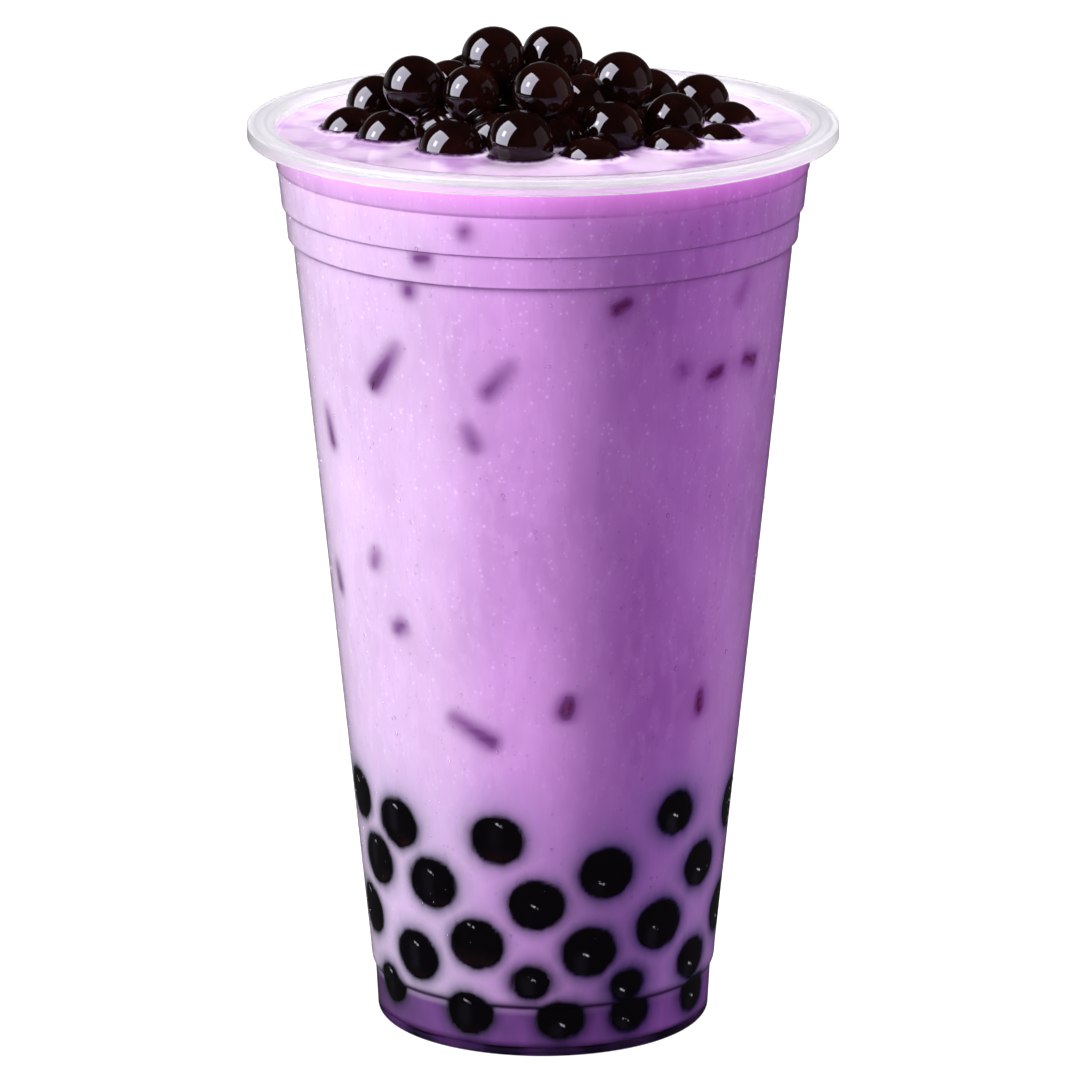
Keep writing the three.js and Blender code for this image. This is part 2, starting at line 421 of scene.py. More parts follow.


# the rim is thicker and a little milky, with two faint darker lines of painted shade round it near its
# inner and outer edges
def milkyPlastic(look):
    material, tree, output = newMaterial("milkyRim")
    cloud = addMottle(tree, look["mottle"])[0]
    rough = remap(tree, cloud, 0.3, 0.7, look["rough"] * 0.8, look["rough"] * 1.2)
    place = addNode(tree, "ShaderNodeTexCoord").outputs["Object"]
    flat = addNode(tree, "ShaderNodeVectorMath", {0: place, 1: (1, 1, 0)}, operation="MULTIPLY")
    radius = addNode(tree, "ShaderNodeVectorMath", {0: flat.outputs[0]}, operation="LENGTH")
    inner, outer = (band(tree, radius.outputs["Value"], *line) for line in look["lines"])
    # painted shade: the two darker lines near the rim's edges
    line = product(tree, larger(tree, inner, outer), remap(tree, cloud, 0.3, 0.7, 0.4, 0.9))
    colour = mixColours(tree, line, look["colour"], look["line"])
    body = addNode(tree, "ShaderNodeBsdfPrincipled", {
        "Base Color": colour, "Roughness": rough, "IOR": look["ior"],
        "Transmission Weight": look["clear"]})
    lightThrough(tree, output, body)
    return material


# the section turned round the axis; faces at the rim take the milky plastic
def makeCup(shape):
    rings, ends = turnedRings(*cupProfile(shape).T, shape["columns"])
    materials = [clearPlastic(plasticLook), milkyPlastic(rimLook)]
    cup = skinPiece("clearCup", rings, ends, materials, "clear_cup", "cup")
    centres = faceCentres(cup)
    isHigh = centres[:, 2] > cupHeight - shape["milkyDeep"]
    isWide = np.hypot(centres[:, 0], centres[:, 1]) > rimRadius - shape["milkyWide"]
    cup.data.polygons.foreach_set("material_index", (isHigh | isWide).astype(np.int32))
    print("cup turned:", len(cup.data.polygons), "faces")
    return cup


clearCup = makeCup(cupShape)

# the heap of pearls: the same plan and drop rule as the solids
heapPlan = dict(
    diameter=10 * mm, contact=0.93, uneven=0.012, squash=0.02, rows=26, columns=44, seed=11,
    glowRun=0.35 * mm,
    # across, back, height of the centre over the drink, size share
    placed=[
        (-27.2, 13.5, 1.9, 0.98), (-31, 1, -0.7, 0.98), (-24.8, -6.3, 0, 1), (-14.5, -16, 0.4, 1.06),
        (-3.5, -20.5, 2.8, 1.06), (7.5, -21, -1.5, 1.08), (20.5, -13, -1.4, 1.04), (28, -6.5, -1.5, 0.92),
        (30, 7.5, -1.1, 1), (25.6, 16, 1.9, 0.96),
        (-16, -3.5, 0, 1), (11, -12.5, 3, 1), (21, -3, 2.5, 0.98), (19.5, 7.5, -0.6, 1),
        (-19.5, 17.5, 0.4, 1.04), (-10, 21.5, -0.8, 1), (1, 20.5, 1.6, 1.06), (11.5, 20.5, -0.5, 0.98),
        (12.5, -3, 9, 1.02), (6.3, -5, 6, 0.96), (-15, 6.5, 6, 0.98), (-11.9, 16, 5, 1),
        (-4.5, 12.5, 7, 1), (5.8, 10, 5.6, 0.96), (17.4, 13, 3.2, 0.96),
        (-7.5, -10, 0.4, 1), (2, -10.5, 0.75, 1), (-6, 0, 0, 1), (4, -1, 0, 1), (12.5, 1.5, 0, 1),
        (-16, 7, -0.2, 1), (-6.5, 11, 0, 1), (3.5, 9.5, 0, 1), (12.5, 11.5, -0.6, 1)],
    # across, back, size share, in the order they are dropped
    dropped=[(-20.5, -1, 1.02), (0, -13, 0.98), (-11.5, -5.5, 0.94), (-8, 1.5, 1.02), (1.5, 5, 0.98)],
    core=dict(halfWidth=22 * mm, halfDepth=14.5 * mm, height=3.2 * mm, sunk=2 * mm,
              rows=8, columns=48, rough=0.6))
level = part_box("drink")[1].z


# centre height of a dropped pearl: it falls until it touches a pearl of the pile
def restingHeight(place, radius, centres, radii, contact):
    across = np.hypot(centres[:, 0] - place[0], centres[:, 1] - place[1])
    reach = contact * (radii + radius)
    under = across < reach
    heights = centres[under, 2] + np.sqrt(reach[under] ** 2 - across[under] ** 2)
    return heights.max(initial=level)


# centres and radii of the heap: the placed pearls, then the dropped ones in their order
def heapCentres(plan):
    placed = np.array(plan["placed"])
    radii = placed[:, 3] * plan["diameter"] / 2
    centres = placed[:, :3] * mm + (0, 0, level)
    for x, y, size in plan["dropped"]:
        place, radius = np.array([x, y]) * mm, size * plan["diameter"] / 2
        height = restingHeight(place, radius, centres, radii, plan["contact"])
        centres = np.vstack([centres, [*place, height]])
        radii = np.append(radii, radius)
    return centres, radii


# uneven balls: a sphere's radius swelled by two random low waves and pressed a little flat
def ballRings(centres, radii, plan):
    draw = np.random.default_rng(plan["seed"])
    axes = draw.normal(size=(2, len(radii), 3))
    axes /= np.linalg.norm(axes, axis=-1, keepdims=True)

    def placed(points):
        first = np.einsum("...k,nk->n...", points, axes[0])
        second = np.einsum("...k,nk->n...", points, axes[1])
        waves = (3 * first ** 2 - 1) + 0.6 * (5 * second ** 3 - 3 * second)
        swell = 1 + plan["uneven"] * waves - plan["squash"] * points[..., 2] ** 2
        shape = (len(radii),) + (1,) * (points.ndim - 1)
        return centres.reshape(shape + (3,)) + (radii.reshape(shape) * swell)[..., None] * points

    return placed(sphereRings(plan["rows"], plan["columns"])), placed(spherePoles)


# which ball each point of a stack of balls belongs to
def ballOwners(count, plan):
    return np.repeat(np.arange(count), plan["rows"] * plan["columns"] + 2)


# how near each point is to another ball's surface
def contactGlow(points, owner, centres, radii, fade):
    gap = np.linalg.norm(points[:, None] - centres[None], axis=-1) - radii
    gap[np.arange(len(points)), owner] = 1
    return closeness(gap.min(axis=1), fade)


syrupPlan = dict(rows=9, columns=20, half=0.95 * mm, fillet=0.3 * mm, widest=2.6 * mm, above=1.5 * mm,
                 contact=0.15, aside=(0.3, 0.5, 0.81))  # aside: a way that no line of centres follows


# syrup between touching pearls: rings round the line of their centres, their radius growing from
# a narrow waist with the square of the distance along the line, up to the pearls
def syrupRings(centres, radii, plan):
    first, second = np.triu_indices(len(radii), 1)
    line = centres[second] - centres[first]
    apart = np.linalg.norm(line, axis=1)
    offset = (apart ** 2 + radii[first] ** 2 - radii[second] ** 2) / (2 * apart)
    contact = np.sqrt(np.maximum(radii[first] ** 2 - offset ** 2, 0))
    middle = centres[first] + line * (offset / apart)[:, None]
    touching = (apart < radii[first] + radii[second]) & (contact < plan["widest"])
    kept = touching & (middle[:, 2] > level + plan["above"])
    first, second, offset, apart, contact, middle = (
        values[kept] for values in (first, second, offset, apart, contact, middle))
    along = (line[kept] / apart[:, None])[:, None, None]
    side = np.cross(along, plan["aside"])
    side /= np.linalg.norm(side, axis=-1, keepdims=True)
    share = np.linspace(-1, 1, plan["rows"])[None, :, None]
    farRadius = np.where(share < 0, radii[first][:, None, None], radii[second][:, None, None])
    farOffset = np.where(share < 0, offset[:, None, None], (apart - offset)[:, None, None]) - plan["half"]
    reach = np.sqrt(np.maximum(farRadius ** 2 - farOffset ** 2, 0))
    waist = contact[:, None, None] + plan["fillet"]
    radius = (waist + (reach - waist) * share ** 2)[..., None]
    turn = np.arange(plan["columns"])[None, None, :, None] * 2 * math.pi / plan["columns"]
    around = side * np.cos(turn) + np.cross(along, side) * np.sin(turn)
    middle = middle[:, None, None]
    rings = middle + along * plan["half"] * share[..., None] + around * radius
    ends = middle[:, 0] + along[:, 0] * plan["half"] * np.array([-1, 1])[None, :, None]
    return rings, ends


pearlLook = dict(
    dark=(0.0045, 0.0011, 0.0011, 1), warm=(0.014, 0.003, 0.002, 1), amberGlow=(0.12, 0.018, 0.004, 1),
    shine=(0.85, 0.82, 1, 1), mottle=160, rough=0.05, ior=1.34, glow=0.08, glowPower=3.0,
    bump=0.05, bumpHigh=0.3 * mm)


# near-black tapioca under a gloss of syrup, with painted light where pearls touch: an amber colour and a
# faint glow
def tapiocaMaterial(look):
    material, tree, output = newMaterial("tapioca")
    cloud, grain = addMottle(tree, look["mottle"])
    shade = mixColours(tree, remap(tree, cloud, 0.35, 0.75), look["dark"], look["warm"])
    # painted light: amber colour and a faint glow where pearls touch
    contact = calculate(tree, "POWER", readValue(tree, "contact"), look["glowPower"])
    contact = product(tree, contact, remap(tree, cloud, 0.45, 0.65))
    colour = mixColours(tree, contact, shade, look["amberGlow"])
    rough = remap(tree, grain, 0.3, 0.7, look["rough"] * 0.6, look["rough"] * 1.6)
    dents = {"Height": cloud, "Strength": look["bump"], "Distance": look["bumpHigh"]}
    bump = addNode(tree, "ShaderNodeBump", dents)
    glow = mixColours(tree, contact, black, look["amberGlow"])
    body = addNode(tree, "ShaderNodeBsdfPrincipled", {
        "Base Color": colour, "Roughness": rough, "IOR": look["ior"], "Specular Tint": look["shine"],
        "Emission Color": glow, "Emission Strength": look["glow"], "Normal": bump.outputs["Normal"]})
    putInput(tree, output.inputs["Surface"], body.outputs[0])
    return material


# a dark mound under the pearls, an ellipse in plan, its height falling with the square of the distance
def coreRings(core):
    share = np.linspace(1, 0, core["rows"])
    radius = np.concatenate([[0, 1], share])
    height = level + np.concatenate([[-core["sunk"], -core["sunk"]], core["height"] * (1 - share ** 2)])
    rings, ends = turnedRings(radius, height, core["columns"])
    return rings * (core["halfWidth"], core["halfDepth"], 1), ends


# the pearls, the syrup between them and the core under them
def makeHeap(plan):
    tapioca = tapiocaMaterial(pearlLook)
    centres, radii = heapCentres(plan)
    rings, ends = ballRings(centres, radii, plan)
    heap = skinPiece("pearlHeap", rings, ends, [tapioca], "tapioca", "pearl_heap")
    points = skinPoints(rings, ends)
    owners = ballOwners(len(radii), plan)
    # the closeness drives the painted amber glow
    pointValue(heap, "contact", contactGlow(points, owners, centres, radii, plan["glowRun"]))
    syrup = skinPiece("pearlSyrup", *syrupRings(centres, radii, syrupPlan), [tapioca], "tapioca")
    # the syrup carries a little of the painted amber glow
    pointValue(syrup, "contact", np.full(len(syrup.data.vertices), syrupPlan["contact"]))
    matt = tapiocaMaterial(dict(pearlLook, rough=plan["core"]["rough"]))
    core = skinPiece("heapCore", *coreRings(plan["core"]), [matt], "tapioca")
    pointValue(core, "contact", np.zeros(len(core.data.vertices)))
    print("pearls heaped:", len(radii), "highest", round(points[:, 2].max() / mm, 1), "mm")
    return centres, radii, [heap, syrup]


pearlCentres, pearlRadii, pearlPieces = makeHeap(heapPlan)

# pearls sunk at the bottom, pressed to the wall or the floor
sunkPlan = dict(
    diameter=9.8 * mm, uneven=0.02, squash=0.0, rows=26, columns=44, seed=5, reach=0.12 * mm,
    nudge=0.15, rightNudge=0.75, rightFrom=-4 * mm,  # on the right half the glints lie lower
    # turn to the right of the front in degrees, height, how far the centre stays off the wall
    front=[
        (-73, 40, 2.7), (-50, 38, 2.8), (-14, 38, 2.9), (44, 40.5, 3.5), (80, 37.5, 2.7),
        (-63, 30, 2.7), (-37, 29, 2.6), (20, 32, 2.6), (58, 30, 3.3),
        (-73, 20, 2.8), (-2, 27, 2.6), (40.5, 21.5, 2.6), (79, 19.5, 2.8),
        (-46, 15.5, 2.7), (-22, 19.5, 2.6), (15, 18.5, 2.6), (58.5, 13.5, 3.6),
        (-4, 13.5, 4.1), (29, 12, 4.2), (-63, 8.5, 3.4), (-26, 7.2, 3.1), (6, 6.8, 3.4),
        (31, 6.8, 3.8), (63, 7, 3.6)],
    backRows=(7.5, 17, 27, 37), backCount=8, backFrom=98, backTo=266, backDepth=(2.5, 3.5), jitter=5,
    # number and radius of the rings on the floor
    floorRings=((1, 0), (6, 10.6), (10, 20.4)), floorHeight=4.8, floorNudge=0.6)


# centres of the sunken pearls: the front ones, staggered rows round the back, rings on the floor
def sunkCentres(plan):
    draw = np.random.default_rng(plan["seed"])
    turns, heights, depths = np.array(plan["front"]).T
    half = (plan["backTo"] - plan["backFrom"]) / (plan["backCount"] - 1) / 2
    evenTurns = np.linspace(plan["backFrom"], plan["backTo"] - half, plan["backCount"])
    for index, height in enumerate(plan["backRows"]):
        turn = evenTurns + half * (index % 2)
        turns = np.append(turns, turn + draw.uniform(-1, 1, len(turn)) * plan["jitter"])
        heights = np.append(heights, height + draw.uniform(-1, 1, len(turn)) * plan["jitter"] / 2)
        depths = np.append(depths, draw.uniform(*plan["backDepth"], len(turn)))
    turns, heights = np.radians(turns), heights * mm
    off = innerRadius(heights) - depths * mm
    onWall = np.stack([off * np.sin(turns), -off * np.cos(turns), heights], axis=1)
    count, radius = np.array(plan["floorRings"]).T
    around = np.concatenate([np.arange(number) / number for number in count.astype(int)]) * 2 * math.pi
    radius = np.repeat(radius, count.astype(int))
    onFloor = np.stack([radius * np.sin(around + radius), radius * np.cos(around + radius),
                        np.full(len(radius), plan["floorHeight"])], axis=1)
    onFloor[:, :2] += draw.uniform(-plan["floorNudge"], plan["floorNudge"], (len(onFloor), 2))
    return np.concatenate([onWall, onFloor * mm])


# points past the wall or the floor are pressed back to it, a hair inside the plastic
def pressed(points, reach):
    height = np.maximum(points[..., 2], cupShape["floor"] - reach)
    limit = innerRadius(height) + reach
    radius = np.hypot(points[..., 0], points[..., 1])
    share = np.minimum(1, limit / np.maximum(radius, 1e-9))
    return np.stack([points[..., 0] * share, points[..., 1] * share, height], axis=-1)


# place on a pearl's disc: right and up from its centre in radii, nudged for each pearl, and a lot number
def discPlaces(points, owner, centres, plan):
    draw = np.random.default_rng(plan["seed"])
    offset = (points - centres[owner]) / (plan["diameter"] / 2)
    spread = np.hypot(centres[:, 0], centres[:, 1])
    side = np.stack([-centres[:, 1], centres[:, 0]], axis=1) / np.maximum(spread, mm)[:, None]
    nudge = draw.uniform(-plan["nudge"], plan["nudge"], (len(centres), 2))
    nudge[:, 1] += plan["rightNudge"] * smoothStep(plan["rightFrom"], 0, centres[:, 0])
    nudge = nudge[owner]
    right = (offset[:, :2] * side[owner]).sum(axis=1) + nudge[:, 0]
    lot = draw.uniform(0, 1, len(centres))[owner]
    return np.stack([right, offset[:, 2] + nudge[:, 1], lot], axis=1)


# the bands on the disc are a low value, a high value and a soft edge, in radii
# the sheen, glint and warm colours are painted light
sunkLook = dict(
    dark=(0.0025, 0.0016, 0.003, 1), mottle=240, rough=0.4, ior=1.4, specular=0.05,
    sheen=(0.011, 0.01, 0.014, 1), sheenRight=(-0.4, 0.0, 0.12), sheenUp=(-0.45, 0.5, 0.15),
    glint=(0.7, 0.7, 0.78, 1), glintRight=(-0.16, 0.06, 0.03), glintUp=(0.4, 0.46, 0.03), slant=0.5,
    warm=(0.014, 0.005, 0.006, 1), warmUp=(-0.4, -0.8))


# pressed to the wall in milk, a sunken pearl shows painted light: a grey sheen, a small glint and a warm
# brown lower edge
def sunkMaterial(look):
    material, tree, output = newMaterial("sunkTapioca")
    cloud, grain = addMottle(tree, look["mottle"])
    place = addNode(tree, "ShaderNodeSeparateXYZ", {0: readValue(tree, "discPlace", "Vector")}).outputs
    right, up, lot = place[0], place[1], place[2]
    # painted light: the sheen, the glint and the warm lower edge are mixed into the colour
    sheen = product(tree, band(tree, right, *look["sheenRight"]), band(tree, up, *look["sheenUp"]))
    sheen = product(tree, sheen, lot)
    slant = calculate(tree, "ADD", up, product(tree, right, look["slant"]))
    glint = product(tree, band(tree, right, *look["glintRight"]), band(tree, slant, *look["glintUp"]))
    glint = product(tree, glint, remap(tree, grain, 0.42, 0.55))
    edge = product(tree, remap(tree, up, *look["warmUp"]), remap(tree, cloud, 0.35, 0.6))
    colour = mixColours(tree, edge, look["dark"], look["warm"])
    colour = mixColours(tree, sheen, colour, look["sheen"])
    colour = mixColours(tree, glint, colour, look["glint"])
    rough = remap(tree, grain, 0.3, 0.7, look["rough"] * 0.7, look["rough"] * 1.3)
    body = addNode(tree, "ShaderNodeBsdfPrincipled", {
        "Base Color": colour, "Roughness": rough, "IOR": look["ior"],
        "Specular IOR Level": look["specular"]})
    putInput(tree, output.inputs["Surface"], body.outputs[0])
    return material


# the sunken pearls, flat where they press on the wall and the floor
def makeSunkPearls(plan):
    centres = sunkCentres(plan)
    radii = np.full(len(centres), plan["diameter"] / 2)
    rings, ends = ballRings(centres, radii, plan)
    owners = ballOwners(len(radii), plan)
    places = discPlaces(skinPoints(rings, ends), owners, centres, plan)
    rings, ends = pressed(rings, plan["reach"]), pressed(ends, plan["reach"])
    piece = skinPiece("sunkenPearls", rings, ends, [sunkMaterial(sunkLook)], "tapioca")
    pointValue(piece, "discPlace", places)
    print("pearls sunk:", len(centres))
    return centres


sunkPearls = makeSunkPearls(sunkPlan)

# ice: blocks in the milk whose edges and corners touch the wall
icePlan = dict(
    roundness=0.3, rows=16, columns=32, reach=0.1 * mm, taper=0.07, flat=0.66,
    # turn, height, half length, half thickness, lean in degrees, how far its edge passes the wall
    front=[
        (-40.5, 116, 6.6, 4, 36, -0.2), (-10.5, 115.8, 4.6, 4, 38, -0.42),
        (-17.7, 106, 2.6, 3, -25, -0.42),
        (-27.5, 135, 1.4, 3, 80, -0.2), (-32, 129.5, 1.1, 3, 10, -0.25), (-17, 140, 0.8, 2, 30, -0.3),
        (-66, 103, 4.4, 3, -14, -0.4), (-71, 77, 3.0, 3, -12, -0.45), (-49.5, 83, 1.8, 3, 20, -0.5),
        (-42, 72.2, 1.3, 3, 60, -0.25), (18.2, 127.5, 1.8, 3, 60, 0.2), (45.5, 114.3, 1.9, 3, 75, 0.25),
        (58.5, 115, 2.3, 3, 105, 0.25), (35, 116, 1.0, 3, -35, -0.2), (53, 127.3, 2.6, 3, 25, -0.45),
        (-20, 56.5, 5.4, 4, -58, -0.24), (6.8, 60.8, 1.8, 3, 15, 0.25), (10, 62, 2.6, 3, 40, -1.1),
        (50, 58.7, 2.4, 3, 0, 0.25), (46.5, 60, 2.8, 3, -20, -1.1), (51, 115, 3.4, 3, 90, -1)],
    backCount=14, backFrom=(95, 52, 1.2, 3, -60, -0.5), backTo=(265, 134, 6, 4, 60, -0.1), seed=23)


# a block's middle, its axes along the mark and out of the wall, an edge leading, and its half sizes
def iceFrames(plan):
    draw = np.random.default_rng(plan["seed"])
    back = draw.uniform(plan["backFrom"], plan["backTo"], (plan["backCount"], 6))
    rows = np.concatenate([np.array(plan["front"]), back])
    turn, lean = np.radians(rows[:, 0]), np.radians(rows[:, 4])[:, None]
    height, length, thick, past = (rows[:, [1, 2, 3, 5]] * mm).T
    zero = np.zeros_like(turn)
    out = np.stack([np.sin(turn), -np.cos(turn), zero], axis=1)
    side = np.stack([np.cos(turn), np.sin(turn), zero], axis=1)
    up = np.array([[0, 0, 1.0]])
    along = up * np.cos(lean) + side * np.sin(lean)
    across = side * np.cos(lean) - up * np.sin(lean)
    axes = np.stack([along, (out - across) / math.sqrt(2), (out + across) / math.sqrt(2)], axis=1)
    edge = math.sqrt(2) * 2 ** (-plan["roundness"] / 2)  # from the middle to a round edge, in half sizes
    centres = out * (innerRadius(height) + past - edge * thick)[:, None] + up * height[:, None]
    return centres, axes, np.stack([length, thick, thick], axis=1)


# rounded blocks: a sphere's points pushed out until the powers of their shares add up to one
def blockRings(centres, axes, halves, plan):
    power = 2 / plan["roundness"]

    def placed(points):
        size = (np.abs(points) ** power).sum(axis=-1) ** (-1 / power)
        shape = (len(centres),) + (1,) * (points.ndim - 1)
        local = (points * size[..., None])[None] * halves.reshape(shape + (3,))
        return centres.reshape(shape + (3,)) + np.einsum("n...k,nkj->n...j", local, axes)

    return placed(sphereRings(plan["rows"], plan["columns"])), placed(spherePoles)


iceLook = dict(wineShade=(0.12, 0.014, 0.1, 1), pale=(0.2, 0.045, 0.19, 1), mottle=600, rough=0.25, ior=1.31,
               specular=0.1)


# ice in painted shade: a dark wine colour standing in for the shadowy drink seen through it, with paler
# clouds
def iceMaterial(look):
    material, tree, output = newMaterial("shadedIce")
    cloud, grain = addMottle(tree, look["mottle"])
    # painted shade: the dark wine colour of the ice
    colour = mixColours(tree, remap(tree, cloud, 0.52, 0.7), look["wineShade"], look["pale"])
    rough = remap(tree, grain, 0.3, 0.7, look["rough"] * 0.5, look["rough"] * 1.5)
    body = addNode(tree, "ShaderNodeBsdfPrincipled", {
        "Base Color": colour, "Roughness": rough, "IOR": look["ior"],
        "Specular IOR Level": look["specular"]})
    putInput(tree, output.inputs["Surface"], body.outputs[0])
    return material


# the blocks, flat where they press on the wall
def makeIce(plan):
    frames = iceFrames(plan)
    rings, ends = blockRings(*frames, plan)
    rings, ends = pressed(rings, plan["reach"]), pressed(ends, plan["reach"])
    skinPiece("iceBlocks", rings, ends, [iceMaterial(iceLook)], "taro_milk")
    print("ice set:", len(frames[0]))
    return frames


iceBlocks = makeIce(icePlan)

# the drink
drinkShape = dict(
    reach=0.05 * mm, columns=320, floorRows=12, lowRows=82, denseTo=50 * mm, rowStep=1.25 * mm,
    topRows=54, topGather=0.8,
    floats=0.7, pearlRise=1.1 * mm, pearlRun=1.2 * mm, climb=0.98, wallRise=0.5 * mm, wallRun=1.3 * mm,
    ripple=0.14 * mm, waves=(2.9 * mm, 4.1 * mm, 2.3 * mm, 5.3 * mm), waveBend=1.7,
    pearlShade=1.2 * mm, pearlShadeWide=4 * mm, iceShade=1.2 * mm, iceShadeWide=3 * mm,
    # the crease values place a painted dark line of shade
    crease=8.8 * mm, creaseRun=0.6 * mm, creaseShare=0.9)


# height of the drink's top: it climbs at the floating pearls and at the wall, fading with the distance
# from each, and two bent sine waves ripple it between
def topHeight(x, y, shape):
    lift = pearlCentres[:, 2] - level
    floats = np.abs(lift) < shape["floats"] * pearlRadii
    centres, waterline = pearlCentres[floats], np.sqrt(pearlRadii[floats] ** 2 - lift[floats] ** 2)
    gap = np.hypot(x[..., None] - centres[:, 0], y[..., None] - centres[:, 1]) - waterline
    climb = 1 - (1 - shape["climb"] * closeness(gap, shape["pearlRun"])).prod(axis=-1)
    edge = closeness(innerRadius(level) - np.hypot(x, y), shape["wallRun"])
    first, second, third, fourth = shape["waves"]
    across = np.sin(x / first + shape["waveBend"] * np.sin(y / second))
    waves = across + np.sin(y / third + np.cos(x / fourth))
    return (level + shape["pearlRise"] * climb + shape["wallRise"] * edge
            + shape["ripple"] * waves * (1 - edge) / 2)


# the drink's skin: floor, round corner, side just inside the plastic, and the uneven top
def drinkRings(shape):
    bottom = cupShape["floor"] - shape["reach"]
    start = bottom + cupShape["floorRound"]
    low = np.linspace(start, shape["denseTo"], shape["lowRows"])
    onWall = wallHeights[(wallHeights > start + rowGap) & (wallHeights < level - rowGap)]
    high = np.arange(shape["denseTo"], level - 2 * rowGap, shape["rowStep"])
    brim = level + shape["wallRise"]
    side = np.unique(np.round(np.concatenate([low, onWall, high, [brim]]), 5))
    sideRadius = innerRadius(side) + shape["reach"]
    cornerRadius = sideRadius[0] - cupShape["floorRound"]
    corner = roundCorner(cornerRadius, start, cupShape["floorRound"], -90, -10)
    floorRadius = np.linspace(0, corner[0, 0], shape["floorRows"], endpoint=False)
    floor = np.stack([floorRadius, np.full_like(floorRadius, bottom)], axis=1)
    topRadius = sideRadius[-1] * np.linspace(1, 0, shape["topRows"] + 1)[1:] ** shape["topGather"]
    top = np.stack([topRadius, np.full_like(topRadius, level)], axis=1)
    line = np.concatenate([floor, corner, np.stack([sideRadius, side], axis=1), top])
    rings, ends = turnedRings(*line.T, shape["columns"])
    topStart = len(line) - 1 - shape["topRows"]  # the first ring of the top
    rings[0, topStart:, :, 2] = topHeight(rings[0, topStart:, :, 0], rings[0, topStart:, :, 1], shape)
    ends[0, 1, 2] = topHeight(ends[0, 1, 0], ends[0, 1, 1], shape)
    return rings, ends, topStart


# distance from points to the nearest ball, taken one ball at a time to keep the arrays small
def ballGap(points, centres, radii):
    gap = np.full(len(points), 1.0)
    for centre, radius in zip(centres, radii):
        gap = np.minimum(gap, np.linalg.norm(points - centre, axis=1) - radius)
    return gap


# distance from points to the nearest block of ice, a round-edged box that draws back towards its ends
def iceGap(points, centres, axes, halves):
    gap = np.full(len(points), 1.0)
    for centre, axis, half in zip(centres, axes, halves):
        local = np.abs((points - centre) @ axis.T)
        outside = np.clip(local - half * icePlan["flat"], 0, None)
        box = np.linalg.norm(outside, axis=1) - (1 - icePlan["flat"]) * half[1]
        gap = np.minimum(gap, box + icePlan["taper"] * local[:, 0] ** 2 / half[0])
    return gap


milkLook = dict(
    milk=(0.4, 0.125, 0.51, 1), deep=(0.34, 0.09, 0.45, 1), light=(0.48, 0.185, 0.6, 1),
    mottle=60, drawn=(1, 1, 0.45), streak=260, streakDrawn=(1, 1, 0.12),
    fleck=(0.6, 0.36, 0.7, 1), fleckScale=900, fleckShare=0.9, fleckRise=(40 * mm, 110 * mm),
    shade=(0.003, 0.002, 0.006, 1), dusk=(0.004, 0.005, 0.055, 1), coolShade=(0.22, 0.105, 0.42, 1),
    haloShade=(0.32, 0.095, 0.41, 1), wineShade=(0.1, 0.01, 0.09, 1), crease=(0.03, 0.006, 0.05, 1),
    foot=(0.24, 0.075, 0.36, 1), footFade=(10 * mm, 7 * mm),
    glow=(0.38, 0.1, 0.3, 1), glowRise=(137 * mm, 146 * mm), glowPower=3.0,
    rough=0.6, sheen=1.0, sheenRough=0.45, sheenIor=1.9, sheenEnd=(142.2 * mm, 143 * mm))
